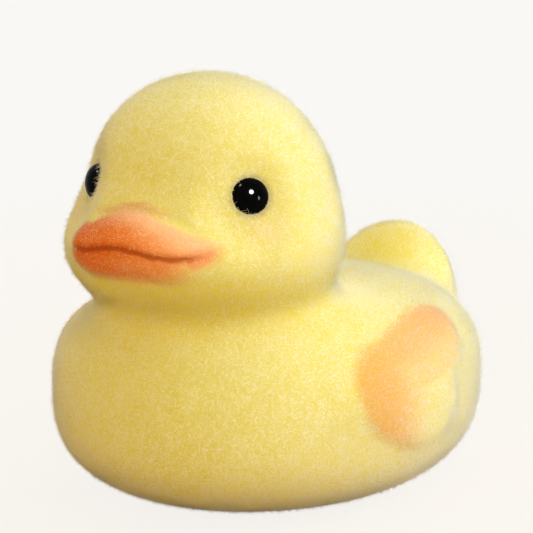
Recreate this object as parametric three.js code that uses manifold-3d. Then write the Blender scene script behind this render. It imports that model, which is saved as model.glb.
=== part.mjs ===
// A squishy duck: one soft flocked moulding (torso, head, bill, wings and tail) with two bead eyes
// pressed into it. Millimetres, +Z up. The duck faces -Y, and the origin is on the ground below the
// middle of its torso.

import * as THREE from "three";
import { mergeVertices } from "three/addons/utils/BufferGeometryUtils.js";
import Module from "manifold-3d";

// Torso: a full egg that lies on a flat foot, its chest a little up
const TORSO_WIDTH = 65.2;
const TORSO_LENGTH = 88;
const TORSO_TOP = 36; // the back above the ground
const TORSO_GIRTH = 18; // the widest level above the ground
const TORSO_FULLNESS = 2.67; // 2 is an ellipse seen from the side, more is boxier
const TORSO_TILT = 3.2;
const FOOT_CUT = 1.5; // how much of the egg's underside the foot takes off

// Head: a round cranium over fuller cheeks, sunk into the torso at the neck
const HEAD_WIDTH = 41.8;
const HEAD_DEPTH = 39.2;
const HEAD_HEIGHT = 46.5;
const HEAD_FULLNESS = 2.1;
const HEAD_TILT = -7;
const HEAD_FORWARD = 19.5; // from the torso's middle to the head's
const HEAD_SINK = 11.4; // how deep the head sits in the torso
const CHEEK_WIDTH = 44.6;
const CHEEK_DEPTH = 42.7;
const CHEEK_HEIGHT = 27.9;
const CHEEK_DROP = 2.8; // from the cranium's middle down to the cheeks'
const CHEEK_FORWARD = 2.8; // from the cranium's middle forward to the cheeks'
const CHEEK_BLEND = 2.8;
const NECK_BLEND = 5.2;

// Tail: a broad stub that leans back and up from the end of the torso
const TAIL_WIDTH = 24.6;
const TAIL_THICKNESS = 15;
const TAIL_LENGTH = 27.4;
const TAIL_TILT = 24;
const TAIL_INSET = 1.4; // from the torso's end to the tail's middle
const TAIL_MIDDLE = 24; // above the ground
const TAIL_BLEND = 10;

// Wings: two overlapping feathers each, raised from the torso's flanks
const WING_FORWARD = 8.2; // from the torso's middle to the upper feather's
const WING_MIDDLE = 24.5; // the upper feather above the ground
const WING_RISE = 0.9;
const WING_EDGE = 4; // the width of the slope round a wing
const WING_BLEND = 1;
const UPPER_FEATHER_LENGTH = 34.8;
const UPPER_FEATHER_HEIGHT = 12.4;
const UPPER_FEATHER_TILT = -14.7;
const LOWER_FEATHER_LENGTH = 27;
const LOWER_FEATHER_HEIGHT = 17;
const LOWER_FEATHER_TILT = 21;
const LOWER_FEATHER_FORWARD = 1.6; // from the upper feather's middle to the lower's
const LOWER_FEATHER_DROP = 3.6;

// Bill: two pillow-like lips that meet at a wavy mouth line
const BILL_WIDTH = 28.2;
const BILL_FORWARD = 18.3; // from the cranium's middle to the bill's
const BILL_REACH = 11.4; // the upper lip ahead of the bill's middle
const BILL_DROP = 1.2; // the mouth line below the cranium's middle
const UPPER_LIP = 5.9; // above the mouth line
const UPPER_LIP_KEEL = 3; // the upper lip's widest level below the mouth line
const LOWER_LIP = 6.4; // below the mouth line
const LOWER_LIP_KEEL = 0.5;
const LOWER_LIP_SETBACK = 2;
const LIP_ROUND = 1.8;
const LIP_OVERLAP = 0.4;
const MOUTH_WAVE = 1.35; // from the crest at the middle to the dips beside it
const MOUTH_PITCH = 19.5; // from dip to dip

// Eyes: half-round beads with a peg, in sockets at the bottom of shallow hollows
const EYE_DIAMETER = 5.6;
const EYE_DOME = 1.95; // the bead proud of its rim
const EYE_RIM = 0.8; // the bead's straight wall below the rim
const EYE_ACROSS = 30.4; // between the two hollows' middles
const EYE_AHEAD = 13.1; // ahead of the cranium's middle
const EYE_RISE = 6.65; // above the cranium's middle
const EYE_TURN = 41; // degrees outwards from straight ahead
const EYE_TILT = 11; // degrees up from level
const EYE_SINK = 0.45; // the bead's rim below the hollow's bottom
const EYE_GAP = 0.3;
const HOLLOW_DEPTH = 2.1;
const HOLLOW_RADIUS = 13;
const HOLLOW_BLEND = 2;
const PEG_DIAMETER = 2.4;
const PEG_LENGTH = 5;

// Size of the facets
const SKIN_STEP = 2.7;
const NECK_STEP = 1.5;
const NECK_BAND_HEIGHT = 12; // how far below the torso's top the finer facets reach
const BILL_STEP = 1.2;
const EVEN_PASSES = 4;
const EYE_SEGMENTS = 24;
const DOME_STEPS = 6;

const wasm = await Module();
wasm.setup();

// Fields: a field gives the rough distance of a point from a skin, negative inside it.

// An egg-shaped lobe. It leans back by some degrees, its underside can be deeper than its top,
// and its side view is an ellipse at fullness 2.
function lobe(centre, radii, { lean = 0, under = radii[2], fullness = 2 } = {}) {
  const angle = THREE.MathUtils.degToRad(lean);
  const cos = Math.cos(angle);
  const sin = Math.sin(angle);
  return (x, y, z) => {
    const up = (y - centre[1]) * sin + (z - centre[2]) * cos;
    const height = up < 0 ? under : radii[2];
    const dx = (x - centre[0]) / radii[0];
    const dy = ((y - centre[1]) * cos - (z - centre[2]) * sin) / radii[1];
    const flat = Math.max(Math.hypot(dx, dy), 1e-6);
    const tall = Math.max(Math.abs(up) / height, 1e-6);
    const scale = (flat ** fullness + tall ** fullness) ** (1 / fullness);
    const across = flat ** (fullness - 2) * Math.hypot(dx / radii[0], dy / radii[1]);
    const along = tall ** (fullness - 1) / height;
    const steepness = scale ** (1 - fullness) * Math.hypot(across, along);
    return (scale - 1) / Math.max(steepness, 1e-6);
  };
}

function smoothMin(a, b, radius) {
  const share = Math.max(radius - Math.abs(a - b), 0) / radius;
  return Math.min(a, b) - (share * share * radius) / 4;
}

const blend = (first, second, radius) => (x, y, z) =>
  smoothMin(first(x, y, z), second(x, y, z), radius);

function slope(field, { x, y, z }) {
  const reach = 0.01;
  return new THREE.Vector3(
    field(x + reach, y, z) - field(x - reach, y, z),
    field(x, y + reach, z) - field(x, y - reach, z),
    field(x, y, z + reach) - field(x, y, z - reach),
  ).divideScalar(2 * reach);
}

function pullToSkin(field, point, most) {
  const start = point.clone();
  for (let turn = 0; turn < 6; turn++) {
    const away = slope(field, point);
    const off = field(point.x, point.y, point.z);
    point.addScaledVector(away, -off / Math.max(away.lengthSq(), 0.1));
  }
  return point.sub(start).clampLength(0, most).add(start);
}

// Evenly spaced grid lines
function lines(low, high, step) {
  const cells = Math.ceil((high - low) / step);
  return Array.from({ length: cells + 1 }, (_, i) => low + ((high - low) * i) / cells);
}

// Moves each vertex half way to the middle of its neighbours, then back onto the skin.
function evenOut(field, vertices, rings, most) {
  const sums = vertices.map(() => new THREE.Vector3());
  const counts = vertices.map(() => 0);
  for (const ring of rings)
    ring.forEach((index, corner) => {
      for (const next of [ring[(corner + 1) % 4], ring[(corner + 3) % 4]]) {
        sums[index].add(vertices[next]);
        counts[index]++;
      }
    });
  vertices.forEach((vertex, index) => {
    vertex.lerp(sums[index].divideScalar(counts[index]), 0.5);
    pullToSkin(field, vertex, most);
  });
}

// Meshes a field's skin: one vertex in each grid cell that the skin crosses, pulled onto the skin,
// and one quad across each grid edge that it crosses.
function skinOf(field, grid, most) {
  const counts = grid.map((axis) => axis.length);
  const strides = [1, counts[0], counts[0] * counts[1]];
  const samples = new Float32Array(counts[0] * counts[1] * counts[2]);
  const eachNode = (margin, visit) => {
    for (let k = 0; k < counts[2] - margin; k++)
      for (let j = 0; j < counts[1] - margin; j++)
        for (let i = 0; i < counts[0] - margin; i++)
          visit([i, j, k], i + j * strides[1] + k * strides[2]);
  };
  eachNode(0, ([i, j, k], node) => {
    samples[node] = field(grid[0][i], grid[1][j], grid[2][k]);
  });

  const vertices = [];
  const vertexOf = new Map();
  const corners = [0, 1, 2, 3, 4, 5, 6, 7].map((c) => [c & 1, (c >> 1) & 1, c >> 2]);
  eachNode(1, (at, node) => {
    const middle = new THREE.Vector3();
    let found = 0;
    for (const corner of corners)
      for (let axis = 0; axis < 3; axis++) {
        if (corner[axis]) continue;
        const start = node + corner[0] + corner[1] * strides[1] + corner[2] * strides[2];
        const a = samples[start];
        const b = samples[start + strides[axis]];
        if (a < 0 === b < 0) continue;
        const place = at.map((n, i) => grid[i][n + corner[i]]);
        const next = grid[axis][at[axis] + 1];
        place[axis] += (next - place[axis]) * (a / (a - b));
        middle.add(new THREE.Vector3(...place));
        found++;
      }
    if (!found) return;
    vertexOf.set(node, vertices.length);
    vertices.push(pullToSkin(field, middle.divideScalar(found), most));
  });

  const rings = [];
  eachNode(1, (at, node) => {
    for (let axis = 0; axis < 3; axis++) {
      const inside = samples[node] < 0;
      if (inside === samples[node + strides[axis]] < 0) continue;
      const u = strides[(axis + 1) % 3];
      const v = strides[(axis + 2) % 3];
      const ring = [node - u - v, node - v, node, node - u].map((cell) => vertexOf.get(cell));
      rings.push(inside ? ring : ring.reverse());
    }
  });
  for (let pass = 0; pass < EVEN_PASSES; pass++) evenOut(field, vertices, rings, most);

  const triangles = rings.flatMap((ring) => {
    const [a, b, c, d] = ring.map((index) => vertices[index]);
    const split = a.distanceTo(c) < b.distanceTo(d) ? [0, 1, 2, 0, 2, 3] : [0, 1, 3, 1, 2, 3];
    return split.map((corner) => ring[corner]);
  });
  return new THREE.BufferGeometry().setFromPoints(vertices).setIndex(triangles);
}

// Solids

// Closes the seams of a turned or boxed shape.
function closed(geometry) {
  const bare = geometry.clone();
  bare.deleteAttribute("normal");
  bare.deleteAttribute("uv");
  return mergeVertices(bare, 1e-4);
}

function solidOf(geometry) {
  return new wasm.Manifold(
    new wasm.Mesh({
      numProp: 3,
      vertProperties: geometry.attributes.position.array,
      triVerts: new Uint32Array(geometry.index.array),
    }),
  );
}

function geometryOf(solid) {
  const { vertProperties, triVerts } = solid.getMesh();
  const geometry = new THREE.BufferGeometry();
  geometry.setAttribute("position", new THREE.BufferAttribute(vertProperties, 3));
  geometry.setIndex(new THREE.BufferAttribute(triVerts, 1));
  geometry.computeVertexNormals();
  return geometry;
}

// Torso with its wings and tail

const torso = lobe(
  [0, 0, TORSO_GIRTH],
  [TORSO_WIDTH / 2, TORSO_LENGTH / 2, TORSO_TOP - TORSO_GIRTH],
  { lean: TORSO_TILT, under: TORSO_GIRTH + FOOT_CUT, fullness: TORSO_FULLNESS },
);
const upperFeather = lobe(
  [0, -WING_FORWARD, WING_MIDDLE],
  [1, UPPER_FEATHER_LENGTH / 2, UPPER_FEATHER_HEIGHT / 2],
  { lean: UPPER_FEATHER_TILT },
);
const lowerFeather = lobe(
  [0, -WING_FORWARD - LOWER_FEATHER_FORWARD, WING_MIDDLE - LOWER_FEATHER_DROP],
  [1, LOWER_FEATHER_LENGTH / 2, LOWER_FEATHER_HEIGHT / 2],
  { lean: LOWER_FEATHER_TILT },
);
const wingOutline = blend(upperFeather, lowerFeather, WING_BLEND);
const winged = (x, y, z) => {
  const edge = wingOutline(0, y, z) / WING_EDGE;
  return torso(x, y, z) - WING_RISE * THREE.MathUtils.smoothstep(-edge, -0.5, 0.5);
};
const tailEnd = TORSO_LENGTH / 2 - TAIL_INSET;
const tail = lobe(
  [0, tailEnd, TAIL_MIDDLE],
  [TAIL_WIDTH / 2, TAIL_THICKNESS / 2, TAIL_LENGTH / 2],
  { lean: TAIL_TILT },
);

// Head with its eye hollows

const headMiddle = [0, -HEAD_FORWARD, TORSO_TOP - HEAD_SINK + HEAD_HEIGHT / 2];
const cheekMiddle = [0, headMiddle[1] - CHEEK_FORWARD, headMiddle[2] - CHEEK_DROP];
const head = blend(
  lobe(headMiddle, [HEAD_WIDTH / 2, HEAD_DEPTH / 2, HEAD_HEIGHT / 2], {
    lean: HEAD_TILT,
    fullness: HEAD_FULLNESS,
  }),
  lobe(cheekMiddle, [CHEEK_WIDTH / 2, CHEEK_DEPTH / 2, CHEEK_HEIGHT / 2]),
  CHEEK_BLEND,
);
const brow = pullToSkin(
  head,
  new THREE.Vector3(...headMiddle).add(new THREE.Vector3(EYE_ACROSS / 2, -EYE_AHEAD, EYE_RISE)),
  HEAD_WIDTH,
);
const eyeTurn = THREE.MathUtils.degToRad(EYE_TURN);
const eyeTilt = THREE.MathUtils.degToRad(EYE_TILT);
const eyeAxis = new THREE.Vector3(
  Math.sin(eyeTurn) * Math.cos(eyeTilt),
  -Math.cos(eyeTurn) * Math.cos(eyeTilt),
  Math.sin(eyeTilt),
);
const hollowMiddle = brow.clone().addScaledVector(eyeAxis, HOLLOW_RADIUS - HOLLOW_DEPTH);
const eyeSeat = brow.clone().addScaledVector(eyeAxis, -HOLLOW_DEPTH - EYE_SINK);
const hollowedHead = (x, y, z) => {
  const clear = hollowMiddle.distanceTo(new THREE.Vector3(Math.abs(x), y, z)) - HOLLOW_RADIUS;
  return -smoothMin(-head(x, y, z), clear, HOLLOW_BLEND);
};
const figure = blend(blend(winged, tail, TAIL_BLEND), hollowedHead, NECK_BLEND);

// Bill, drawn with a flat mouth at level 0

const billMiddle = headMiddle[1] - BILL_FORWARD;
const upperLip = lobe(
  [0, billMiddle, -UPPER_LIP_KEEL],
  [BILL_WIDTH / 2, BILL_REACH, UPPER_LIP + UPPER_LIP_KEEL],
);
const lowerLip = lobe(
  [0, billMiddle, -LOWER_LIP_KEEL],
  [(BILL_WIDTH - LOWER_LIP_SETBACK) / 2, BILL_REACH - LOWER_LIP_SETBACK, LOWER_LIP - LOWER_LIP_KEEL],
);
// One lip: side 1 keeps what lies above the mouth, side -1 what lies below it. The lips overlap a
// little at the mouth, where they are joined.
function makeLip(lip, side) {
  const field = (x, y, z) => -smoothMin(-lip(x, y, z), side * z + LIP_OVERLAP / 2, LIP_ROUND);
  const halfWidth = BILL_WIDTH / 2 + BILL_STEP;
  const halfHeight = Math.max(UPPER_LIP, LOWER_LIP) + BILL_STEP;
  const grid = [
    lines(-halfWidth, halfWidth, BILL_STEP),
    lines(billMiddle - BILL_REACH - BILL_STEP, billMiddle + BILL_REACH + BILL_STEP, BILL_STEP),
    lines(-halfHeight, halfHeight, BILL_STEP),
  ];
  const skin = skinOf(field, grid, BILL_STEP / 2);
  const places = skin.attributes.position;
  for (let i = 0; i < places.count; i++) {
    const wave = (MOUTH_WAVE / 2) * Math.cos((2 * Math.PI * places.getX(i)) / MOUTH_PITCH);
    places.setZ(i, places.getZ(i) + headMiddle[2] - BILL_DROP + wave);
  }
  return solidOf(skin);
}

// Eyes: both share one bead, seated square to its hollow

function eyeProfile(gap) {
  const radius = EYE_DIAMETER / 2 + gap;
  const pegRadius = PEG_DIAMETER / 2 + gap;
  const points = [
    new THREE.Vector2(0, -EYE_RIM - PEG_LENGTH - gap),
    new THREE.Vector2(pegRadius, -EYE_RIM - PEG_LENGTH - gap),
    new THREE.Vector2(pegRadius, -EYE_RIM - gap),
    new THREE.Vector2(radius, -EYE_RIM - gap),
  ];
  for (let step = 0; step < DOME_STEPS; step++) {
    const turn = (step / DOME_STEPS) * (Math.PI / 2);
    points.push(new THREE.Vector2(radius * Math.cos(turn), (EYE_DOME + gap) * Math.sin(turn)));
  }
  points.push(new THREE.Vector2(0, EYE_DOME + gap));
  return points;
}

function seatOn(side) {
  const mirror = new THREE.Vector3(side, 1, 1);
  const turn = new THREE.Quaternion().setFromUnitVectors(
    new THREE.Vector3(0, 1, 0),
    eyeAxis.clone().multiply(mirror),
  );
  const place = eyeSeat.clone().multiply(mirror);
  return new THREE.Matrix4().compose(place, turn, new THREE.Vector3(1, 1, 1));
}

const eyeSeats = { eye_left: seatOn(1), eye_right: seatOn(-1) };

// Body

function makeFigure() {
  const spare = 2 * SKIN_STEP;
  const halfWidth = TORSO_WIDTH / 2 + spare;
  const front = Math.min(-TORSO_LENGTH / 2, cheekMiddle[1] - CHEEK_DEPTH / 2) - spare;
  const bandLow = TORSO_TOP - NECK_BAND_HEIGHT;
  const levels = [
    ...lines(-FOOT_CUT - spare, bandLow, SKIN_STEP),
    ...lines(bandLow, TORSO_TOP, NECK_STEP),
    ...lines(TORSO_TOP, headMiddle[2] + HEAD_HEIGHT / 2 + spare, SKIN_STEP),
  ];
  const grid = [
    lines(-halfWidth, halfWidth, SKIN_STEP),
    lines(front, tailEnd + TAIL_LENGTH / 2 + spare, SKIN_STEP),
    [...new Set(levels)],
  ];
  return skinOf(figure, grid, SKIN_STEP / 2);
}

function makeBody() {
  const ground = new THREE.BoxGeometry(4 * TORSO_WIDTH, 4 * TORSO_LENGTH, TORSO_TOP);
  ground.translate(0, 0, -TORSO_TOP / 2);
  const bill = makeLip(upperLip, 1).add(makeLip(lowerLip, -1));
  let body = solidOf(makeFigure()).subtract(solidOf(closed(ground))).add(bill);
  for (const seat of Object.values(eyeSeats)) {
    const socket = new THREE.LatheGeometry(eyeProfile(EYE_GAP), EYE_SEGMENTS);
    body = body.subtract(solidOf(closed(socket).applyMatrix4(seat)));
  }
  return geometryOf(body);
}

const flock = new THREE.MeshStandardMaterial({ color: 0xf5e27c, roughness: 0.95, metalness: 0 });
const bead = new THREE.MeshStandardMaterial({ color: 0x0a0908, roughness: 0.08, metalness: 0 });

const duck = new THREE.Group();
const body = new THREE.Mesh(makeBody(), flock);
body.name = "body";
duck.add(body);
for (const [name, seat] of Object.entries(eyeSeats)) {
  const eye = new THREE.Mesh(new THREE.LatheGeometry(eyeProfile(0), EYE_SEGMENTS), bead);
  eye.name = name;
  eye.applyMatrix4(seat);
  duck.add(eye);
}

export default duck;
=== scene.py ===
"""A palm-size squishy duck: a flocked foam moulding, airbrushed bill, wings and cheeks, bead eyes."""
import math

import bmesh
import bpy
import numpy
from mathutils import Matrix, Vector


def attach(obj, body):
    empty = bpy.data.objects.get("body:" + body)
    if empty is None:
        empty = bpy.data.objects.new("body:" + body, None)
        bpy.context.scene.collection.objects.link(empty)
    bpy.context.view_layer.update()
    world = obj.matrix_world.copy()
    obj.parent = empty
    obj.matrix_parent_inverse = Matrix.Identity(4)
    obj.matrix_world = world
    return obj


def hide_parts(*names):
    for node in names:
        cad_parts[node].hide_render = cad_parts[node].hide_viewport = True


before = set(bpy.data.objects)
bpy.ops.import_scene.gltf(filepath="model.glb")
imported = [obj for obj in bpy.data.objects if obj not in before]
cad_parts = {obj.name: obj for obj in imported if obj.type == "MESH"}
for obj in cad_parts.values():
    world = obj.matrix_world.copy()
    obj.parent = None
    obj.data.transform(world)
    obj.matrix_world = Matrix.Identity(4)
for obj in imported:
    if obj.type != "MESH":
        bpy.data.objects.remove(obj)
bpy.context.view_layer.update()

MM = 0.001

# Places on the duck, in millimetres, degrees or shares: it faces -Y, its left is +X, the ground is z = 0
MOUTH_MIDDLE = Vector((0, -37.8, 46.65))
MOUTH_WAVE = 1.35
MOUTH_PITCH = 19.5
UPPER_LIP_MIDDLE = Vector((0, -37.8, -3))
UPPER_LIP_RADII = Vector((14.1, 11.4, 8.9))
LOWER_LIP_MIDDLE = Vector((0, -37.8, -0.5))
LOWER_LIP_RADII = Vector((13.1, 9.4, 5.9))
UPPER_FEATHER_MIDDLE = Vector((0, -5.9, 26.7))
UPPER_FEATHER_RADII = Vector((1000, 17.3, 4.8))
UPPER_FEATHER_LEAN = -8
LOWER_FEATHER_MIDDLE = Vector((0, -9.8, 20.8))
LOWER_FEATHER_RADII = Vector((1000, 13.5, 8.5))
LOWER_FEATHER_LEAN = 21
WING_HEM = 0.99
CHEEK_BLUSH_MIDDLE = Vector((17.7, -32.2, 49.2))
SHOULDER_LIGHT_MIDDLE = Vector((17, -3, 33))
NECK_HEIGHT = 38
TAIL_ROOT = Vector((0, 33, 38))
BILL_PAINT_SHIFT = 0.45
UPPER_BILL_HALF = 14.2
UPPER_BILL_HEIGHT = 5.1
UPPER_BILL_POWER = 1.9
LOWER_BILL_HALF = 13.5
LOWER_BILL_HEIGHT = 6.4
LOWER_BILL_POWER = 1.65
BILL_CORNER = Vector((11.5, -0.1, 0))
BILL_CORNER_RADII = Vector((2.5, 1.8, 1))
CREASE_MIDDLE = Vector((-1.5, 1.02, 0))
CREASE_RADII = Vector((9.5, 0.25, 1))
CHEEK_BLUSH_RADII = Vector((6, 6, 3.8))
SHOULDER_LIGHT_RADII = Vector((11, 11, 7))
TAIL_ROOT_RADII = Vector((16, 12, 12))
EYE_TURN = math.radians(41)
EYE_TILT = math.radians(11)
EYE_RADIUS = 2.9
EYE_DOME = 2.0
EYE_RAISE = 0.4
EYE_RIM = 1.0
SOCKET_SHADE_WIDTH = 1.1

# Where each paint is full and where it has faded out, in millimetres or shares of its own radius
SPOT_EDGE = (0, 1)
LIP_SEAM = (-0.3, 0.3)
UPPER_BILL_EDGE = (0.88, 1.02)
LOWER_BILL_EDGE = (0.6, 1.1)
BILL_CORNER_EDGE = (0.3, 1.3)
BILL_BACK = (-35, -32)
BILL_RIGHT_END = (-9, 4)
BILL_LEFT_END = (11, 2)
CREST_EDGE = (0.98, 0.55)
CREST_HEIGHT = (2, 0)
CREST_ACROSS = (1, -9)
CREASE_EDGE = (0.2, 1)
MOUTH_LINE_EDGE = (0.1, 0.7)
MOUTH_LINE_ENDS = (9.5, 12.5)
MOUTH_SIDES = (0.3, 2.6)
FEATHER_EDGE = (0.88, 1.06)
UPPER_FEATHER_FRONT = (-14, -20)
UPPER_FEATHER_TOP = (0.45, -0.6)
LOWER_FEATHER_FRONT = (-17, -5)
WING_FRONT = (-20, -8)
WING_HEM_EDGE = (0.02, 0.17)
WING_HEM_HEIGHT = (15, 22)
WING_HEM_FRONT = (-12, -5)
NECK_EDGE = (0, 7)
NECK_FRONT = (-20, -7)
TAIL_ROOT_EDGE = (0.3, 1.1)
CROWN_LIGHT = (69, 56)
LOW_FUZZ = (8, 36)
PALE_FIBRES = (0.97, 0.72)

# How strong each paint is, painted light and shade among them
BILL_GRAIN = 1.4
BILL_GRAIN_START = 0.05
RIGHT_END_SHADE = -0.35
MOUTH_SIDES_SHADE = -0.12
CREST_HIGHLIGHT_SHARE = 0.62
CREASE_SHARE = 0.75
LEFT_END_LIGHT_SHARE = 0.28
RIGHT_END_SHADE_SHARE = 0.12
MOUTH_LINE_SHARE = 0.75
UPPER_FEATHER_LEAST = 0.42
UPPER_FEATHER_GAIN = 0.5
LOWER_FEATHER_SHARE = 0.95
WING_HEM_SHARE = 0.4
TAIL_ROOT_SHARE = 1.6
HOLLOW_SHADE_TINT = -0.2
CHEEK_BLUSH_SHARE = 0.26
SHOULDER_LIGHT_SHARE = 2
PAINTED_LIGHT_TINT = 0.11
SOCKET_SHARE = 0.45
PATCH_TINT = 0.3
# The skin between the fibres and the fibres' roots are painted deeper than the tips: painted shade within the
# pile
SKIN_TINT = 0.15
FIBRE_ROOT_TINT = 0.2
FIBRE_TIP_TINT = 0.3
PALE_FIBRE_TINT = 0.5
FIBRE_TIP_SHEEN = 0.42
PALE_FIBRE_SHEEN = 0.45
FUZZ = 0.85
FUZZ_LOW_GAIN = 0.45
FUZZ_IN_HOLLOWS = -0.35
FUZZ_ON_WINGS = -0.2
FUZZ_ON_BILL = -0.5
FUZZ_IN_MOUTH = -0.4
FUZZ_LEAST = 0.1

# Grain of the paint, finish of the velvet and the beads
PATCH_SCALE = 0.3
DRIFT_SCALE = 0.5
DRIFT = 0.9
PAINT_DETAIL = 3
VELVET_ROUGHNESS = 0.7
BEAD_SPECULAR = 0.025
BEAD_HAZE_SCALE = 900
BEAD_HAZE = (0.4, 0.75)
BEAD_ROUGHNESS = (0.05, 0.12)

# Skin, eyes and flock, in millimetres where they are lengths
SKIN_VOXEL = 0.6
SKIN_PASSES = 4
SMOOTHING = 0.5
SKIN_INSET = 0.25
MOUTH_CUT = 0.7
MOUTH_CUT_WIDTH = 0.5
MOUTH_CUT_HALF = 12.6
MOUTH_CUT_END = 2.5
MOUTH_CUT_BACK = 8
LIP_CREASE = 0.4
LIP_CREASE_REACH = 0.955
LIP_CREASE_WIDTH = 0.045
LIP_CREASE_RISE = 2
LIP_CREASE_HALF = 9
LIP_CREASE_END = 4
LIP_BACK = 6
LIP_BACK_FADE = 3
FINE_LIP_REACH = (0.9, 1.25)
FINE_MOUTH_HALF = 1.6
EYE_BED_DEPTH = 0.25
EYE_BED_WIDTH = 3.0
EYE_BED_BRIM = 5.0
EYE_BRIM_LAP = 0.6
EYE_DIP_START = 0.6
EYE_DIP_SLOPE = 0.8
EYE_BED_EDGE = 1.6
EYE_ROUNDING = (0.8, 6)
EYE_ROUNDING_PASSES = 16
EYE_REACH = 3
EYE_SEGMENTS = 64
EYE_RINGS = 40
FIBRE_THICK = 0.085
FIBRE_LENGTH = 0.92
BILL_FIBRE_LENGTH = 0.5
BILL_NAP_REACH = 1.08
EYE_NAP = 0.3
EYE_NAP_LAP = 0.1
FOOT_BARE = 0.3
FOOT_NAP = 0.25
FOOT_NAP_GROWTH = 0.4
FIBRE_LIFT = (0.25, 1.2)
FIBRE_SHORTEST = 0.65
FIBRE_STRAY = 1.0
FIBRE_STRAY_POWER = 5
FIBRE_NORMAL_SPREAD = 0.08
NEEDLE_SIDES = 3
FIBRES_PER_SQ_MM = 20
FLOCK_COATS = 8
BAKE_CELLS = 256
BAKE_MARGIN = 0.1

# Seeds of the fibres' random draws, added to the coat's number
LEAN_SEED = 100
LIFT_SEED = 200
LENGTH_SEED = 300
SHADE_SEED = 400
NORMAL_SEED = 500

# Gaps closed where points are merged, in metres
MERGE_GAP = 1e-6
NEEDLE_MERGE_GAP = 1e-9

# The photograph's camera, with its distance and target in millimetres
FRAME_PIXELS = 533
FOCAL_PIXELS = 2400
SENSOR_WIDTH = 36
CAMERA_AZIMUTH = math.radians(30.02)
CAMERA_ELEVATION = math.radians(11.6)
CAMERA_DISTANCE = 400
CAMERA_TARGET = Vector((-0.864, -0.499, 36.39))

# The stage, in metres
CAMERA_NEAR = 0.01
LAMP_DISTANCE = 0.7
LAMP_SIZE = (0.6, 0.6)
WORLD_FILL = 0.05
FLOOR_RADIUS = 4
FLOOR_SEGMENTS = 64
FLOOR_SHADING = 0.08
FLOOR_SHADING_EDGE = (0.08, 0.35)
FLOOR_ROUGHNESS = 0.9

# Colours, as linear light
YELLOW_DEEP = (0.80, 0.645, 0.078, 1)
YELLOW_PALE = (0.91, 0.92, 0.62, 1)
ORANGE_DEEP = (0.76, 0.15, 0.014, 1)
ORANGE_PALE = (0.98, 0.53, 0.20, 1)
# The cheeks' real peach blush, and the painted highlight on the bill's crest
PEACH_BLUSH_AND_HIGHLIGHT = (0.97, 0.63, 0.34, 1)
CREASE_SHADE = (0.72, 0.33, 0.12, 1)
MOUTH_SHADE = (0.42, 0.045, 0.003, 1)
# The pale of real pale fibres and of the painted sheen on the fibre tips
FIBRE_TIP = (1, 0.96, 0.9, 1)
WING_DEEP = (0.79, 0.41, 0.06, 1)
WING_PALE = (0.86, 0.42, 0.10, 1)
WING_SHADE = (0.60, 0.34, 0.04, 1)
EYE_SHADE = (0.40, 0.33, 0.18, 1)
PAPER = (0.956, 0.939, 0.905, 1)
WARM_PAPER = (0.78, 0.635, 0.45, 1)
BLACK = (0.001, 0.001, 0.0012, 1)
FILL_LIGHT = (1, 0.8, 0.5, 1)


# Node helpers

def add_node(tree, kind, inputs=None, **settings):
    node = tree.nodes.new(kind)
    for name, value in settings.items():
        setattr(node, name, value)
    for socket, value in (inputs or {}).items():
        if isinstance(value, bpy.types.NodeSocket):
            tree.links.new(value, node.inputs[socket])
        else:
            node.inputs[socket].default_value = value
    return node


def math_of(tree, operation, *values):
    node = add_node(tree, "ShaderNodeMath", dict(enumerate(values)), operation=operation)
    return node.outputs[0]


def vector_of(tree, operation, *values):
    node = add_node(tree, "ShaderNodeVectorMath", dict(enumerate(values)), operation=operation)
    return node.outputs["Value" if operation == "LENGTH" else "Vector"]


def colour_mix(tree, share, first, second):
    node = add_node(tree, "ShaderNodeMix", {0: share, 6: first, 7: second}, data_type="RGBA")
    return node.outputs[2]


def new_material(name):
    material = bpy.data.materials.new(name)
    material.use_nodes = True
    tree = material.node_tree
    return material, tree, tree.nodes["Principled BSDF"]


# Paint, with painted light and shade, shared by the skin and the fibres

def local_place(tree, place, middle, radii, lean=0):
    local = add_node(tree, "ShaderNodeMapping", {
        "Vector": place,
        "Location": middle,
        "Rotation": (-math.radians(lean), 0, 0),
        "Scale": radii,
    }, vector_type="TEXTURE")
    return local.outputs[0]


def soft_spot(tree, place, middle, radii, edge):
    local = local_place(tree, place, middle, radii)
    return fade(tree, vector_of(tree, "LENGTH", local), *edge)


def fade(tree, value, full, none):
    ramp = add_node(tree, "ShaderNodeMapRange", {
        "Value": value, "From Min": full, "From Max": none, "To Min": 1, "To Max": 0,
    }, interpolation_type="SMOOTHSTEP")
    return ramp.outputs[0]


def paint_place(tree):
    place = add_node(tree, "ShaderNodeTexCoord").outputs["Object"]
    grown = add_node(tree, "ShaderNodeVectorMath", {0: place, "Scale": 1 / MM}, operation="SCALE").outputs[0]
    drift = add_node(tree, "ShaderNodeTexNoise", {
        "Vector": grown, "Scale": DRIFT_SCALE, "Detail": PAINT_DETAIL})
    centred = vector_of(tree, "SUBTRACT", drift.outputs["Color"], (0.5, 0.5, 0.5))
    nudge = add_node(tree, "ShaderNodeVectorMath", {0: centred, "Scale": DRIFT}, operation="SCALE")
    return grown, vector_of(tree, "ADD", grown, nudge.outputs[0])


def bill_reach(tree, across, rise, power):
    across = math_of(tree, "POWER", across, power)
    rise = math_of(tree, "POWER", rise, power)
    return math_of(tree, "POWER", math_of(tree, "ADD", across, rise), 1 / power)


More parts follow.
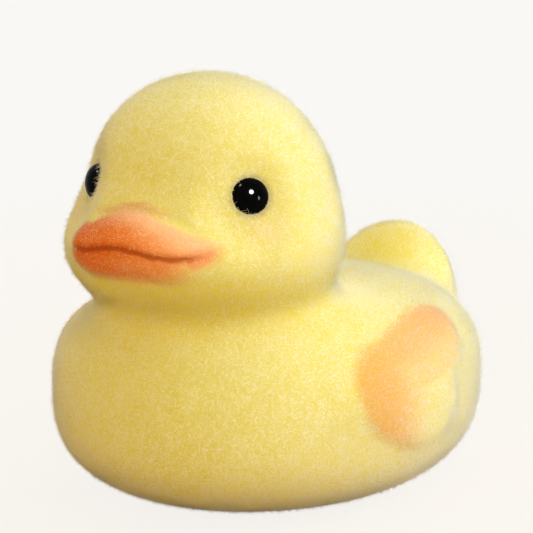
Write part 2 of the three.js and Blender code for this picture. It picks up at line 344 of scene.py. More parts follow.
def paint_bill(tree, x, y, z):
    turns = math_of(tree, "COSINE", math_of(tree, "MULTIPLY", x, 2 * math.pi / MOUTH_PITCH))
    mouth = math_of(tree, "MULTIPLY_ADD", turns, MOUTH_WAVE / 2, MOUTH_MIDDLE.z)
    above = math_of(tree, "SUBTRACT", z, mouth)
    wide = math_of(tree, "ABSOLUTE", math_of(tree, "ADD", x, BILL_PAINT_SHIFT))
    across = math_of(tree, "DIVIDE", wide, UPPER_BILL_HALF)
    high = math_of(tree, "DIVIDE", math_of(tree, "MAXIMUM", above, 0), UPPER_BILL_HEIGHT)
    upper = bill_reach(tree, across, high, UPPER_BILL_POWER)
    low = math_of(tree, "DIVIDE", math_of(tree, "MINIMUM", above, 0), -LOWER_BILL_HEIGHT)
    lower = bill_reach(tree, math_of(tree, "DIVIDE", wide, LOWER_BILL_HALF), low, LOWER_BILL_POWER)
    lips = add_node(tree, "ShaderNodeMix", {
        "Factor": fade(tree, above, *LIP_SEAM),
        "A": fade(tree, upper, *UPPER_BILL_EDGE),
        "B": fade(tree, lower, *LOWER_BILL_EDGE),
    }).outputs[0]
    flat = add_node(tree, "ShaderNodeCombineXYZ", {"X": wide, "Y": above}).outputs[0]
    corner = soft_spot(tree, flat, BILL_CORNER, BILL_CORNER_RADII, BILL_CORNER_EDGE)
    lips = math_of(tree, "MAXIMUM", lips, corner)
    ahead = fade(tree, y, *BILL_BACK)
    raised = fade(tree, above, *CREST_HEIGHT)
    # Painted highlight along the top edge of the upper lip, stronger on the left (+X) side
    crest_highlight = math_of(tree, "MULTIPLY", fade(tree, upper, *CREST_EDGE), raised)
    crest_highlight = math_of(tree, "MULTIPLY", crest_highlight, fade(tree, x, *CREST_ACROSS))
    spread = add_node(tree, "ShaderNodeCombineXYZ", {"X": x, "Y": high}).outputs[0]
    crease = soft_spot(tree, spread, CREASE_MIDDLE, CREASE_RADII, CREASE_EDGE)
    crease = math_of(tree, "MULTIPLY", math_of(tree, "MULTIPLY", crease, ahead), raised)
    from_mouth = math_of(tree, "ABSOLUTE", above)
    ends = fade(tree, wide, *MOUTH_LINE_ENDS)
    line = math_of(tree, "MULTIPLY", fade(tree, from_mouth, *MOUTH_LINE_EDGE), ends)
    # Painted shade: the lips are painted deeper near the mouth, where they turn from the light
    near_mouth_shade = fade(tree, from_mouth, *MOUTH_SIDES)
    return math_of(tree, "MULTIPLY", lips, ahead), crease, crest_highlight, line, near_mouth_shade


def feather(tree, place, middle, radii, lean):
    local = local_place(tree, place, middle, radii, lean)
    reach = vector_of(tree, "LENGTH", local)
    high = add_node(tree, "ShaderNodeSeparateXYZ", {0: local}).outputs["Z"]
    return fade(tree, reach, *FEATHER_EDGE), high, reach


def paint_wing(tree, place, y, z):
    upper, upper_high, _ = feather(
        tree, place, UPPER_FEATHER_MIDDLE, UPPER_FEATHER_RADII, UPPER_FEATHER_LEAN)
    lower, _, lower_reach = feather(
        tree, place, LOWER_FEATHER_MIDDLE, LOWER_FEATHER_RADII, LOWER_FEATHER_LEAN)
    behind = math_of(tree, "MAXIMUM", lower, fade(tree, y, *UPPER_FEATHER_FRONT))
    upper = math_of(tree, "MULTIPLY", upper, behind)
    top = fade(tree, upper_high, *UPPER_FEATHER_TOP)
    top = math_of(tree, "MULTIPLY_ADD", top, UPPER_FEATHER_GAIN, UPPER_FEATHER_LEAST)
    front = math_of(tree, "MULTIPLY", fade(tree, y, *LOWER_FEATHER_FRONT), LOWER_FEATHER_SHARE)
    upper = math_of(tree, "MULTIPLY", upper, top)
    shown = math_of(tree, "MAXIMUM", upper, math_of(tree, "MULTIPLY", lower, front))
    off_hem = math_of(tree, "ABSOLUTE", math_of(tree, "SUBTRACT", lower_reach, WING_HEM))
    hem = math_of(tree, "MULTIPLY", fade(tree, off_hem, *WING_HEM_EDGE), fade(tree, z, *WING_HEM_HEIGHT))
    hem = math_of(tree, "MULTIPLY", hem, fade(tree, y, *WING_HEM_FRONT))
    return shown, fade(tree, y, *WING_FRONT), hem


# Painted shade: the neck crease and the root of the tail are painted a deeper yellow
def paint_hollow_shade(tree, place, y, z):
    off = math_of(tree, "ABSOLUTE", math_of(tree, "SUBTRACT", z, NECK_HEIGHT))
    neck = math_of(tree, "MULTIPLY", fade(tree, off, *NECK_EDGE), fade(tree, y, *NECK_FRONT))
    tail = soft_spot(tree, place, TAIL_ROOT, TAIL_ROOT_RADII, TAIL_ROOT_EDGE)
    return math_of(tree, "MAXIMUM", neck, math_of(tree, "MULTIPLY", tail, TAIL_ROOT_SHARE))


def painted(tree, share, strength, color, paint):
    return colour_mix(tree, math_of(tree, "MULTIPLY", share, strength), color, paint)


def make_paint_and_light(eye_seat, eye_axis):
    group = bpy.data.node_groups.new("airbrushed flock", "ShaderNodeTree")
    group.interface.new_socket("Tint", in_out="INPUT", socket_type="NodeSocketFloat")
    group.interface.new_socket("Color", in_out="OUTPUT", socket_type="NodeSocketColor")
    group.interface.new_socket("Fuzz", in_out="OUTPUT", socket_type="NodeSocketFloat")
    tint = add_node(group, "NodeGroupInput").outputs["Tint"]
    place, ragged = paint_place(group)
    x, y, z = add_node(group, "ShaderNodeSeparateXYZ", {0: ragged}).outputs
    folded = add_node(group, "ShaderNodeCombineXYZ", {
        "X": math_of(group, "ABSOLUTE", x), "Y": y, "Z": z}).outputs[0]

    patches = add_node(group, "ShaderNodeTexNoise", {
        "Vector": place, "Scale": PATCH_SCALE, "Detail": PAINT_DETAIL})
    level = math_of(group, "SUBTRACT", tint, PATCH_TINT / 2)
    patchy = math_of(group, "MULTIPLY_ADD", patches.outputs[0], PATCH_TINT, level)
    # Painted light: the yellow is painted paler on the shoulders and the crown, where the lamps fall on them
    painted_light = soft_spot(group, folded, SHOULDER_LIGHT_MIDDLE, SHOULDER_LIGHT_RADII, SPOT_EDGE)
    painted_light = math_of(group, "MULTIPLY_ADD", painted_light, SHOULDER_LIGHT_SHARE, fade(group, z, *CROWN_LIGHT))
    patchy = math_of(group, "MULTIPLY_ADD", painted_light, PAINTED_LIGHT_TINT, patchy)
    # Painted shade in the neck crease and at the tail's root
    hollow_shade = paint_hollow_shade(group, place, y, z)
    yellow = math_of(group, "MULTIPLY_ADD", hollow_shade, HOLLOW_SHADE_TINT, patchy)
    color = colour_mix(group, yellow, YELLOW_DEEP, YELLOW_PALE)

    wing, strong, hem = paint_wing(group, ragged, y, z)
    wing_color = colour_mix(group, strong, WING_PALE, WING_DEEP)
    color = colour_mix(group, wing, color, wing_color)
    color = painted(group, hem, WING_HEM_SHARE, color, WING_SHADE)

    blush = soft_spot(group, folded, CHEEK_BLUSH_MIDDLE, CHEEK_BLUSH_RADII, SPOT_EDGE)
    color = painted(group, blush, CHEEK_BLUSH_SHARE, color, PEACH_BLUSH_AND_HIGHLIGHT)
    from_seat = vector_of(group, "SUBTRACT", folded, eye_seat / MM)
    from_axis = vector_of(group, "LENGTH", vector_of(group, "CROSS_PRODUCT", from_seat, eye_axis))
    socket = fade(group, from_axis, EYE_RADIUS, EYE_RADIUS + SOCKET_SHADE_WIDTH)
    color = painted(group, socket, SOCKET_SHARE, color, EYE_SHADE)

    lips, crease, crest_highlight, line, near_mouth_shade = paint_bill(group, x, y, z)
    color = painted(group, crease, CREASE_SHARE, color, CREASE_SHADE)
    # The bill is painted deeper at its right (-X) end and paler at its left (+X) end: in part painted shade
    # and painted light of the sides turned from and toward the lamps
    shaded_right_end = fade(group, x, *BILL_RIGHT_END)
    lit_left_end = fade(group, x, *BILL_LEFT_END)
    grain = math_of(group, "MULTIPLY_ADD", shaded_right_end, RIGHT_END_SHADE, BILL_GRAIN_START)
    grain = math_of(group, "MULTIPLY_ADD", patchy, BILL_GRAIN, grain)
    # Painted shade, deeper near the mouth
    grain = math_of(group, "MULTIPLY_ADD", near_mouth_shade, MOUTH_SIDES_SHADE, grain)
    orange = colour_mix(group, grain, ORANGE_DEEP, ORANGE_PALE)
    # Painted highlight on the bill's crest
    orange = painted(group, crest_highlight, CREST_HIGHLIGHT_SHARE, orange, PEACH_BLUSH_AND_HIGHLIGHT)
    orange = painted(group, lit_left_end, LEFT_END_LIGHT_SHARE, orange, ORANGE_PALE)
    orange = painted(group, shaded_right_end, RIGHT_END_SHADE_SHARE, orange, MOUTH_SHADE)
    orange = painted(group, line, MOUTH_LINE_SHARE, orange, MOUTH_SHADE)
    color = colour_mix(group, lips, color, orange)

    fuzz = math_of(group, "MULTIPLY_ADD", fade(group, z, *LOW_FUZZ), FUZZ_LOW_GAIN, FUZZ)
    fuzz = math_of(group, "MULTIPLY_ADD", wing, FUZZ_ON_WINGS, fuzz)
    fuzz = math_of(group, "MULTIPLY_ADD", hollow_shade, FUZZ_IN_HOLLOWS, fuzz)
    fuzz = math_of(group, "MULTIPLY_ADD", lips, FUZZ_ON_BILL, fuzz)
    fuzz = math_of(group, "MULTIPLY_ADD", line, FUZZ_IN_MOUTH, fuzz)
    leave = add_node(group, "NodeGroupOutput")
    group.links.new(color, leave.inputs["Color"])
    group.links.new(math_of(group, "MAXIMUM", fuzz, FUZZ_LEAST), leave.inputs["Fuzz"])
    return group


def velvet(shader):
    shader.inputs["Roughness"].default_value = VELVET_ROUGHNESS
    shader.inputs["Specular IOR Level"].default_value = 0


def skin_material(paint_and_light):
    material, tree, shader = new_material("airbrushed skin")
    # Painted shade: the skin under the fibres is painted deeper than the fibres
    paint = add_node(tree, "ShaderNodeGroup", {"Tint": SKIN_TINT}, node_tree=paint_and_light)
    tree.links.new(paint.outputs["Color"], shader.inputs["Base Color"])
    velvet(shader)
    return material


def fibre_material(paint_and_light):
    material, tree, shader = new_material("airbrushed fibres")
    own = add_node(tree, "ShaderNodeAttribute", attribute_name="tint").outputs["Fac"]
    reach = add_node(tree, "ShaderNodeAttribute", attribute_name="reach").outputs["Fac"]
    pale = fade(tree, own, *PALE_FIBRES)
    # Painted shade at the roots, which are deeper than the tips
    tint = math_of(tree, "MULTIPLY_ADD", pale, PALE_FIBRE_TINT, FIBRE_ROOT_TINT)
    tint = math_of(tree, "MULTIPLY_ADD", reach, FIBRE_TIP_TINT, tint)
    paint = add_node(tree, "ShaderNodeGroup", {"Tint": tint}, node_tree=paint_and_light)
    # The tips and a few whole fibres are painted pale: partly real pale fibres, partly painted sheen of light
    # caught at the tips
    pale_and_sheen = math_of(tree, "MULTIPLY", pale, PALE_FIBRE_SHEEN)
    pale_and_sheen = math_of(tree, "MULTIPLY_ADD", reach, FIBRE_TIP_SHEEN, pale_and_sheen)
    tip = math_of(tree, "MULTIPLY", pale_and_sheen, paint.outputs["Fuzz"])
    color = colour_mix(tree, tip, paint.outputs["Color"], FIBRE_TIP)
    tree.links.new(color, shader.inputs["Base Color"])
    velvet(shader)
    return material


def bead_material():
    material, tree, shader = new_material("black bead")
    place = add_node(tree, "ShaderNodeTexCoord").outputs["Object"]
    haze = add_node(tree, "ShaderNodeTexNoise", {
        "Vector": place, "Scale": BEAD_HAZE_SCALE, "Detail": PAINT_DETAIL})
    smudge = add_node(tree, "ShaderNodeMapRange", {
        "Value": haze.outputs[0],
        "From Min": BEAD_HAZE[0],
        "From Max": BEAD_HAZE[1],
        "To Min": BEAD_ROUGHNESS[0],
        "To Max": BEAD_ROUGHNESS[1],
    })
    tree.links.new(smudge.outputs[0], shader.inputs["Roughness"])
    shader.inputs["Base Color"].default_value = BLACK
    shader.inputs["Specular IOR Level"].default_value = BEAD_SPECULAR
    return material


def seen_directly(tree):
    rays = add_node(tree, "ShaderNodeLightPath")
    seen = math_of(tree, "ADD", rays.outputs["Is Camera Ray"], rays.outputs["Is Glossy Ray"])
    return math_of(tree, "ADD", seen, rays.outputs["Is Transmission Ray"])


def floor_material():
    material, tree, shader = new_material("pale paper floor")
    shader.inputs["Base Color"].default_value = WARM_PAPER
    shader.inputs["Roughness"].default_value = FLOOR_ROUGHNESS
    shader.inputs["Specular IOR Level"].default_value = 0
    place = add_node(tree, "ShaderNodeTexCoord").outputs["Object"]
    near = fade(tree, vector_of(tree, "LENGTH", place), *FLOOR_SHADING_EDGE)
    shown = math_of(tree, "MULTIPLY_ADD", near, -FLOOR_SHADING, 1)
    share = add_node(
        tree, "ShaderNodeMath", {0: seen_directly(tree), 1: shown}, operation="MULTIPLY", use_clamp=True)
    glow = add_node(tree, "ShaderNodeEmission", {"Color": PAPER, "Strength": 1})
    mixed = add_node(tree, "ShaderNodeMixShader", {
        0: share.outputs[0], 1: shader.outputs[0], 2: glow.outputs[0]})
    tree.links.new(mixed.outputs[0], tree.nodes["Material Output"].inputs["Surface"])
    return material


# Meshes

def new_piece(name, mesh, material):
    piece = bpy.data.objects.new(name, mesh)
    bpy.context.scene.collection.objects.link(piece)
    mesh.materials.clear()
    mesh.materials.append(material)
    return piece


def merged_copy(nodes, name):
    bm = bmesh.new()
    for node in nodes:
        bm.from_mesh(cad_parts[node].data)
    bmesh.ops.remove_doubles(bm, verts=bm.verts, dist=MERGE_GAP)
    mesh = bpy.data.meshes.new(name)
    bm.to_mesh(mesh)
    bm.free()
    return mesh


def applied_mesh(piece, name):
    graph = bpy.context.evaluated_depsgraph_get()
    mesh = bpy.data.meshes.new_from_object(piece.evaluated_get(graph))
    mesh.name = name
    return mesh


# Skin: the moulding with its eye sockets filled, evened out and sunk a little below the flock's tips

def above_mouth(place):
    wave = MOUTH_WAVE / 2 * math.cos(2 * math.pi * place.x / MOUTH_PITCH)
    return place.z - MOUTH_MIDDLE.z - wave


def lip_reach(place):
    flat = Vector((place.x, place.y, above_mouth(place)))
    middle, radii = UPPER_LIP_MIDDLE, UPPER_LIP_RADII
    if flat.z < 0:
        middle, radii = LOWER_LIP_MIDDLE, LOWER_LIP_RADII
    away = flat - middle
    return math.hypot(away.x / radii.x, away.y / radii.y, away.z / radii.z)


def share_of(length, whole):
    return max(0, min(1, length / whole))


def mouth_depth(place):
    off = above_mouth(place) / MOUTH_CUT_WIDTH
    ends = share_of(MOUTH_CUT_HALF - abs(place.x), MOUTH_CUT_END)
    ahead = share_of(MOUTH_MIDDLE.y + MOUTH_CUT_BACK - place.y, LIP_BACK_FADE)
    return MOUTH_CUT * math.exp(-off * off) * ends * ahead


def from_eye(place, eye_lines):
    nearest = math.inf
    for seat, axis in eye_lines:
        away = place - seat
        along = away.dot(axis)
        if along > -EYE_REACH * MM:
            nearest = min(nearest, (away - axis * along).length / MM - EYE_RADIUS)
    return nearest


def crease_depth(place):
    off = (lip_reach(place) - LIP_CREASE_REACH) / LIP_CREASE_WIDTH
    raised = share_of(above_mouth(place), LIP_CREASE_RISE)
    ends = share_of(LIP_CREASE_HALF - abs(place.x), LIP_CREASE_END)
    ahead = share_of(MOUTH_MIDDLE.y + LIP_BACK - place.y, LIP_BACK_FADE)
    return LIP_CREASE * math.exp(-off * off) * min(raised, ends) * ahead


def smooth_step(share):
    share = numpy.clip(share, 0, 1)
    return share * share * (3 - 2 * share)


def smooth_out(bm, verts, rounds):
    for _ in range(rounds):
        bmesh.ops.smooth_vert(
            bm, verts=verts, factor=SMOOTHING, use_axis_x=True, use_axis_y=True, use_axis_z=True)


def bend_terms(across, up):
    return numpy.stack([numpy.ones_like(across), across, up, across ** 2, across * up, up ** 2], axis=1)


def level_eye_beds(bm, eye_lines):
    places = numpy.array([vert.co for vert in bm.verts]) / MM
    for seat, axis in eye_lines:
        side = axis.cross(Vector((0, 0, 1))).normalized()
        away = places - numpy.array(seat) / MM
        along = away @ numpy.array(axis)
        across = away @ numpy.array(side)
        up = away @ numpy.array(side.cross(axis))
        gap = numpy.hypot(across, up) - EYE_RADIUS
        front = numpy.abs(along) < EYE_REACH
        brim = front & (gap > EYE_BED_WIDTH - EYE_BRIM_LAP) & (gap < EYE_BED_BRIM)
        curve = numpy.linalg.lstsq(bend_terms(across[brim], up[brim]), along[brim], rcond=None)[0]
        dip = EYE_BED_DEPTH * smooth_step((EYE_DIP_START - gap) / EYE_DIP_SLOPE)
        bed = bend_terms(across, up) @ curve - dip
        share = smooth_step((EYE_BED_WIDTH - gap) / EYE_BED_EDGE) * front
        places += (share * (bed - along))[:, None] * numpy.array(axis)
    for vert, place in zip(bm.verts, places):
        vert.co = Vector(place) * MM
    inner, outer = EYE_ROUNDING
    round_eyes = [vert for vert in bm.verts if inner < from_eye(vert.co, eye_lines) < outer]
    smooth_out(bm, round_eyes, EYE_ROUNDING_PASSES)


def near_lips(place):
    reach = lip_reach(place)
    inner, outer = FINE_LIP_REACH
    at_edge = reach > inner or abs(above_mouth(place)) < FINE_MOUTH_HALF
    return reach < outer and at_edge and place.y < MOUTH_MIDDLE.y + LIP_BACK


def sculpt_skin(mesh, eye_lines):
    bm = bmesh.new()
    bm.from_mesh(mesh)
    smooth_out(bm, bm.verts, SKIN_PASSES)
    level_eye_beds(bm, eye_lines)
    lips = [edge for edge in bm.edges if near_lips(edge.verts[0].co / MM)]
    bmesh.ops.subdivide_edges(bm, edges=lips, cuts=1, use_grid_fill=True, smooth=0)
    bmesh.ops.triangulate(bm, faces=[f for f in bm.faces if len(f.verts) > 4])
    bm.normal_update()
    moves = []
    for vert in bm.verts:
        place = vert.co / MM
        depth = SKIN_INSET + mouth_depth(place) + crease_depth(place)
        moves.append(vert.normal * -depth * MM)
    for vert, move in zip(bm.verts, moves):
        vert.co += move
        vert.co.z = max(vert.co.z, 0)
    bm.to_mesh(mesh)
    bm.free()


def make_skin(material, eye_lines):
    start = new_piece("skin_start", merged_copy(("body", "eye_left", "eye_right"), "skin_start"), material)
    remesh = start.modifiers.new("even", "REMESH")
    remesh.mode = "VOXEL"
    remesh.voxel_size = SKIN_VOXEL * MM
    mesh = applied_mesh(start, "foam_skin")
    bpy.data.objects.remove(start)
    sculpt_skin(mesh, eye_lines)
    mesh.polygons.foreach_set("use_smooth", [True] * len(mesh.polygons))
    return new_piece("foam_skin", mesh, material)


# Eyes

def find_axis(side):
    return Vector((
        side * math.sin(EYE_TURN) * math.cos(EYE_TILT),
        -math.cos(EYE_TURN) * math.cos(EYE_TILT),
        math.sin(EYE_TILT)))


def find_seat(node, axis):
    places = [vert.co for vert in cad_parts[node].data.vertices]
    middle = sum(places, Vector()) / len(places)
    reach = max((place - middle).dot(axis) for place in places)
    return middle + axis * (reach + (EYE_RAISE - EYE_DOME) * MM)


def make_eye(node, name, side, material):
    axis = find_axis(side)
    seat = find_seat(node, axis)
    bm = bmesh.new()
    bmesh.ops.create_uvsphere(bm, u_segments=EYE_SEGMENTS, v_segments=EYE_RINGS, radius=1)
    geometry = bm.verts[:] + bm.edges[:] + bm.faces[:]
    cut = bmesh.ops.bisect_plane(bm, geom=geometry, plane_co=(0, 0, 0), plane_no=(0, 0, 1), clear_inner=True)
    bmesh.ops.scale(bm, vec=(EYE_RADIUS * MM, EYE_RADIUS * MM, EYE_DOME * MM), verts=bm.verts)
    rim = [part for part in cut["geom_cut"] if isinstance(part, bmesh.types.BMEdge)]
    wall = bmesh.ops.extrude_edge_only(bm, edges=rim)["geom"]
    wall_verts = [part for part in wall if isinstance(part, bmesh.types.BMVert)]
    bmesh.ops.translate(bm, vec=(0, 0, -EYE_RIM * MM), verts=wall_verts)
    bmesh.ops.contextual_create(bm, geom=[part for part in wall if isinstance(part, bmesh.types.BMEdge)])
    bmesh.ops.recalc_face_normals(bm, faces=bm.faces)
    turn = axis.to_track_quat("Z", "Y").to_matrix().to_4x4()
    bmesh.ops.transform(bm, matrix=Matrix.Translation(seat) @ turn, verts=bm.verts)
    mesh = bpy.data.meshes.new(name)
    bm.to_mesh(mesh)
    bm.free()
    mesh.polygons.foreach_set("use_smooth", [True] * len(mesh.polygons))
    return new_piece(name, mesh, material), seat, axis


# Flock: a needle scattered over the skin

def mark_skin(skin, eye_lines):
    cover = skin.data.attributes.new("cover", "FLOAT", "POINT")
    nap = skin.data.attributes.new("nap", "FLOAT", "POINT")
    covers = []
    naps = []
    for vert in skin.data.vertices:
        gap = from_eye(vert.co, eye_lines)
        covers.append(0 if gap < -EYE_NAP_LAP or vert.co.z < FOOT_BARE * MM else 1)
        length = BILL_FIBRE_LENGTH if lip_reach(vert.co / MM) < BILL_NAP_REACH else FIBRE_LENGTH
        round_eye = 1 + EYE_NAP - EYE_NAP * min(1, max(gap, 0))
        naps.append(length * round_eye * min(1, FOOT_NAP + FOOT_NAP_GROWTH * vert.co.z / MM))
    cover.data.foreach_set("value", covers)
    nap.data.foreach_set("value", naps)


def make_needle(material):
    bm = bmesh.new()
    bmesh.ops.create_cone(
        bm, cap_ends=False, segments=NEEDLE_SIDES, radius1=FIBRE_THICK * MM / 2, radius2=0, depth=MM,
        matrix=Matrix.Translation((0, 0, MM / 2)))
    bmesh.ops.remove_doubles(bm, verts=bm.verts, dist=NEEDLE_MERGE_GAP)
    cell = bm.loops.layers.uv.new("OFBake")
    for number, face in enumerate(bm.faces):
        low = [loop for loop in face.loops if loop.vert.co.z < MM / 2]
        for loop in face.loops:
            side = low.index(loop) if loop in low else 0.5
            across = number + BAKE_MARGIN + (1 - 2 * BAKE_MARGIN) * side
            loop[cell].uv = (across / NEEDLE_SIDES, BAKE_MARGIN if loop in low else 1 - BAKE_MARGIN)
    mesh = bpy.data.meshes.new("needle")
    bm.to_mesh(mesh)
    bm.free()
    reach = mesh.attributes.new("reach", "FLOAT", "POINT")
    reach.data.foreach_set("value", [vert.co.z / MM for vert in mesh.vertices])
    return new_piece("needle", mesh, material)


def flock_nodes(needle, seed):
    tree = bpy.data.node_groups.new("flocking", "GeometryNodeTree")
    tree.interface.new_socket("Geometry", in_out="INPUT", socket_type="NodeSocketGeometry")
    tree.interface.new_socket("Geometry", in_out="OUTPUT", socket_type="NodeSocketGeometry")
    entry = add_node(tree, "NodeGroupInput")
    cover = add_node(tree, "GeometryNodeInputNamedAttribute", {"Name": "cover"}, data_type="FLOAT")
    nap = add_node(tree, "GeometryNodeInputNamedAttribute", {"Name": "nap"}, data_type="FLOAT")
    density = math_of(tree, "MULTIPLY", cover.outputs[0], FIBRES_PER_SQ_MM / FLOCK_COATS / MM / MM)
    scatter = add_node(tree, "GeometryNodeDistributePointsOnFaces", {
        "Mesh": entry.outputs[0], "Density": density, "Seed": seed})
    held = add_node(tree, "GeometryNodeStoreNamedAttribute", {
        "Geometry": scatter.outputs["Points"], "Name": "outward", "Value": scatter.outputs["Normal"]},
        data_type="FLOAT_VECTOR", domain="POINT")
    outward = add_node(tree, "GeometryNodeInputNamedAttribute", {"Name": "outward"}, data_type="FLOAT_VECTOR")
    normal = outward.outputs[0]

    spread = add_node(tree, "FunctionNodeRandomValue", {
        "Min": [-FIBRE_NORMAL_SPREAD] * 3, "Max": [FIBRE_NORMAL_SPREAD] * 3, "Seed": seed + NORMAL_SEED},
        data_type="FLOAT_VECTOR")
    any_way = add_node(tree, "FunctionNodeRandomValue", {
        "Min": (-1, -1, -1), "Max": (1, 1, 1), "Seed": seed + LEAN_SEED}, data_type="FLOAT_VECTOR")
    sideways = vector_of(tree, "CROSS_PRODUCT", normal, any_way.outputs[0])
    sideways = vector_of(tree, "NORMALIZE", sideways)
    lift = add_node(tree, "FunctionNodeRandomValue", {
        2: FIBRE_LIFT[0], 3: FIBRE_LIFT[1], "Seed": seed + LIFT_SEED}, data_type="FLOAT")
    upright = add_node(tree, "ShaderNodeVectorMath", {0: normal, "Scale": lift.outputs[1]}, operation="SCALE")
    lean = vector_of(tree, "ADD", sideways, upright.outputs[0])
    turn = add_node(tree, "FunctionNodeAlignRotationToVector", {"Vector": lean}, axis="Z")

    chance = add_node(tree, "FunctionNodeRandomValue", {
        2: 0, 3: 1, "Seed": seed + LENGTH_SEED}, data_type="FLOAT")
    stray = math_of(tree, "POWER", chance.outputs[1], FIBRE_STRAY_POWER)
    stretch = math_of(tree, "MULTIPLY_ADD", stray, FIBRE_STRAY, FIBRE_SHORTEST)
    length = math_of(tree, "MULTIPLY", nap.outputs[0], stretch)
    size = add_node(tree, "ShaderNodeCombineXYZ", {"X": 1, "Y": 1, "Z": length})
    source = add_node(tree, "GeometryNodeObjectInfo", {"Object": needle})
    placed = add_node(tree, "GeometryNodeInstanceOnPoints", {
        "Points": held.outputs[0], "Instance": source.outputs["Geometry"],
        "Rotation": turn.outputs[0], "Scale": size.outputs[0]})
    shade = add_node(tree, "FunctionNodeRandomValue", {
        2: 0, 3: 1, "Seed": seed + SHADE_SEED}, data_type="FLOAT")
    leaning = vector_of(tree, "NORMALIZE", vector_of(tree, "ADD", normal, spread.outputs[0]))
    turned = add_node(tree, "GeometryNodeStoreNamedAttribute", {
        "Geometry": placed.outputs[0], "Name": "outward", "Value": leaning},
        data_type="FLOAT_VECTOR", domain="INSTANCE")
    tinted = add_node(tree, "GeometryNodeStoreNamedAttribute", {
        "Geometry": turned.outputs[0], "Name": "tint", "Value": shade.outputs[1]},
        data_type="FLOAT", domain="INSTANCE")
    numbered = add_node(tree, "GeometryNodeStoreNamedAttribute", {
        "Geometry": tinted.outputs[0], "Name": "number",
        "Value": add_node(tree, "GeometryNodeInputIndex").outputs[0]},
        data_type="FLOAT", domain="INSTANCE")
    whole = add_node(tree, "GeometryNodeRealizeInstances", {0: numbered.outputs[0]})
    leave = add_node(tree, "NodeGroupOutput")
    tree.links.new(bake_cells(tree, whole.outputs[0]), leave.inputs[0])
    return tree


def bake_cells(tree, fibres):
    number = add_node(
        tree, "GeometryNodeInputNamedAttribute", {"Name": "number"}, data_type="FLOAT").outputs[0]
    across = math_of(tree, "FLOORED_MODULO", number, BAKE_CELLS)
    along = math_of(tree, "FLOOR", math_of(tree, "DIVIDE", number, BAKE_CELLS))
    corner = add_node(tree, "ShaderNodeCombineXYZ", {"X": across, "Y": along}).outputs[0]
    inside = add_node(
        tree, "GeometryNodeInputNamedAttribute", {"Name": "OFBake"}, data_type="FLOAT_VECTOR").outputs[0]
    moved = vector_of(tree, "ADD", inside, corner)
    small = add_node(tree, "ShaderNodeVectorMath", {0: moved, "Scale": 1 / BAKE_CELLS}, operation="SCALE")
    placed = add_node(tree, "GeometryNodeStoreNamedAttribute", {
        "Geometry": fibres, "Name": "OFBake", "Value": small.outputs[0]},
        data_type="FLOAT2", domain="CORNER")
    return placed.outputs[0]


def soften(mesh):
    count = len(mesh.vertices)
    outward = numpy.empty(count * 3, dtype=numpy.float32)
    mesh.attributes["outward"].data.foreach_get("vector", outward)
    outward = outward.reshape(count, 3)
    mesh.polygons.foreach_set("use_smooth", [True] * len(mesh.polygons))
    mesh.normals_split_custom_set_from_vertices(outward)
    mesh.attributes.remove(mesh.attributes["outward"])


def make_flock(skin, material):
    needle = make_needle(material)
    coats = []
    for number in range(FLOCK_COATS):
        grown = skin.modifiers.new("flocking", "NODES")
        grown.node_group = flock_nodes(needle, number)
        mesh = applied_mesh(skin, f"flock_coat_{number + 1}")
        skin.modifiers.remove(grown)
        soften(mesh)
        coat = new_piece(mesh.name, mesh, material)
        coat.visible_shadow = False
        coat.visible_diffuse = False
        coats.append(coat)
    bpy.data.objects.remove(needle)
    return coats


# Floor, light and camera

def view_axes(azimuth, elevation):
    back = Vector((
        math.sin(azimuth) * math.cos(elevation),
        -math.cos(azimuth) * math.cos(elevation),
        math.sin(elevation)))
    right = Vector((math.cos(azimuth), math.sin(azimuth), 0))
    return right, back.cross(right), back


def aimed(piece, place, target):
    piece.location = place
    piece.rotation_euler = (target - place).to_track_quat("-Z", "Y").to_euler()
    bpy.context.scene.collection.objects.link(piece)
    return piece


def add_camera():
    *_, back = view_axes(CAMERA_AZIMUTH, CAMERA_ELEVATION)
    data = bpy.data.cameras.new("camera")
    data.sensor_width = SENSOR_WIDTH
    data.lens = FOCAL_PIXELS / FRAME_PIXELS * SENSOR_WIDTH
    data.clip_start = CAMERA_NEAR
    target = CAMERA_TARGET * MM
    camera = aimed(bpy.data.objects.new("camera", data), target + back * CAMERA_DISTANCE * MM, target)
    bpy.context.scene.camera = camera


def add_lamp(name, direction, size, energy, colour):
    right, up, back = view_axes(CAMERA_AZIMUTH, CAMERA_ELEVATION)
    data = bpy.data.lights.new(name, "AREA")
    data.shape = "RECTANGLE"
    data.size, data.size_y = size
    data.energy = energy
    data.color = colour
    data.cycles.use_multiple_importance_sampling = False
    way = (right * direction[0] + up * direction[1] + back * direction[2]).normalized()
    target = CAMERA_TARGET * MM
    lamp = aimed(bpy.data.objects.new(name, data), target + way * LAMP_DISTANCE, target)
    lamp.visible_glossy = False
    return lamp


def add_catch_light(name, direction, size, energy):
    lamp = add_lamp(name, direction, size, energy, (1, 1, 1))
    lamp.data.shape = "ELLIPSE"
    lamp.data.cycles.use_multiple_importance_sampling = True
    lamp.visible_glossy = True
    lamp.visible_diffuse = False


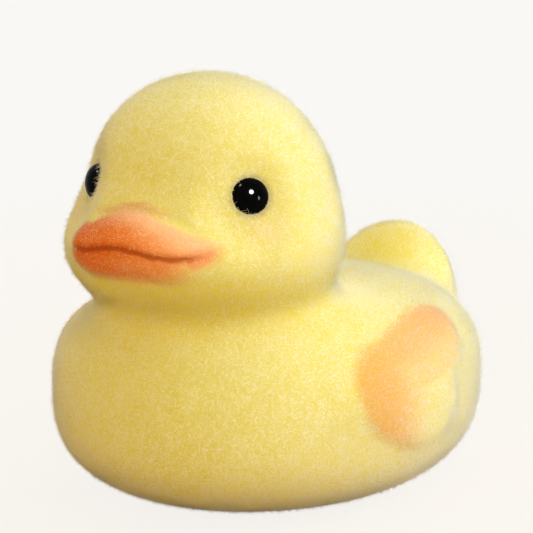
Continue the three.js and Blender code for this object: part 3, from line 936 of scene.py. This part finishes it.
def add_world():
    world = bpy.data.worlds.new("light box")
    bpy.context.scene.world = world
    world.use_nodes = True
    tree = world.node_tree
    lit = tree.nodes["Background"]
    lit.inputs["Color"].default_value = FILL_LIGHT
    lit.inputs["Strength"].default_value = WORLD_FILL
    shown = add_node(tree, "ShaderNodeBackground", {"Color": PAPER, "Strength": 1})
    mixed = add_node(tree, "ShaderNodeMixShader", {
        0: seen_directly(tree), 1: lit.outputs[0], 2: shown.outputs[0]})
    tree.links.new(mixed.outputs[0], tree.nodes["World Output"].inputs["Surface"])


def add_floor():
    bm = bmesh.new()
    bmesh.ops.create_circle(bm, cap_ends=True, segments=FLOOR_SEGMENTS, radius=FLOOR_RADIUS)
    mesh = bpy.data.meshes.new("floor")
    bm.to_mesh(mesh)
    bm.free()
    floor = new_piece("floor", mesh, floor_material())


bead = bead_material()
eye_left, *left_line = make_eye("eye_left", "bead_left", 1, bead)
eye_right, *right_line = make_eye("eye_right", "bead_right", -1, bead)
eye_lines = (left_line, right_line)
paint_and_light = make_paint_and_light(*left_line)
skin = make_skin(skin_material(paint_and_light), eye_lines)
mark_skin(skin, eye_lines)
coats = make_flock(skin, fibre_material(paint_and_light))

for piece in [skin, *coats]:
    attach(piece, "root")
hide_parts("body")
for eye, node in ((eye_left, "eye_left"), (eye_right, "eye_right")):
    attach(eye, "root")
    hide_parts(node)

add_floor()
add_camera()
add_world()
add_lamp("key softbox", (0.49, 0.67, 0.55), LAMP_SIZE, 1.1, (0.75, 0.85, 1))
add_lamp("top panel", (0.1, 1, 0.1), LAMP_SIZE, 2.35, (1, 0.96, 0.95))
add_lamp("front fill", (0, 0.3, 1), LAMP_SIZE, 2.25, (1, 0.86, 0.42))
add_lamp("left fill", (-0.9, 0.3, 0.3), LAMP_SIZE, 1.1, (1, 0.76, 0.6))
add_lamp("right panel", (0.95, 0.22, 0.2), LAMP_SIZE, 5.7, (0.60, 0.695, 1))
add_lamp("back right panel", (0.75, 0.4, -0.6), LAMP_SIZE, 3.75, (0.93, 0.9, 1))
add_lamp("back left panel", (-0.75, 0.4, -0.6), LAMP_SIZE, 1.9, (0.93, 0.94, 1))
add_catch_light("round catch light", (0.29, 0.35, 0.89), (0.22, 0.22), 85)
add_catch_light("strip catch light", (0.72, -0.08, 0.6), (0.08, 0.2), 5)
add_catch_light("far catch light", (-0.53, 0.81, 0.25), (0.12, 0.12), 6)
bpy.context.scene.view_settings.view_transform = "Standard"
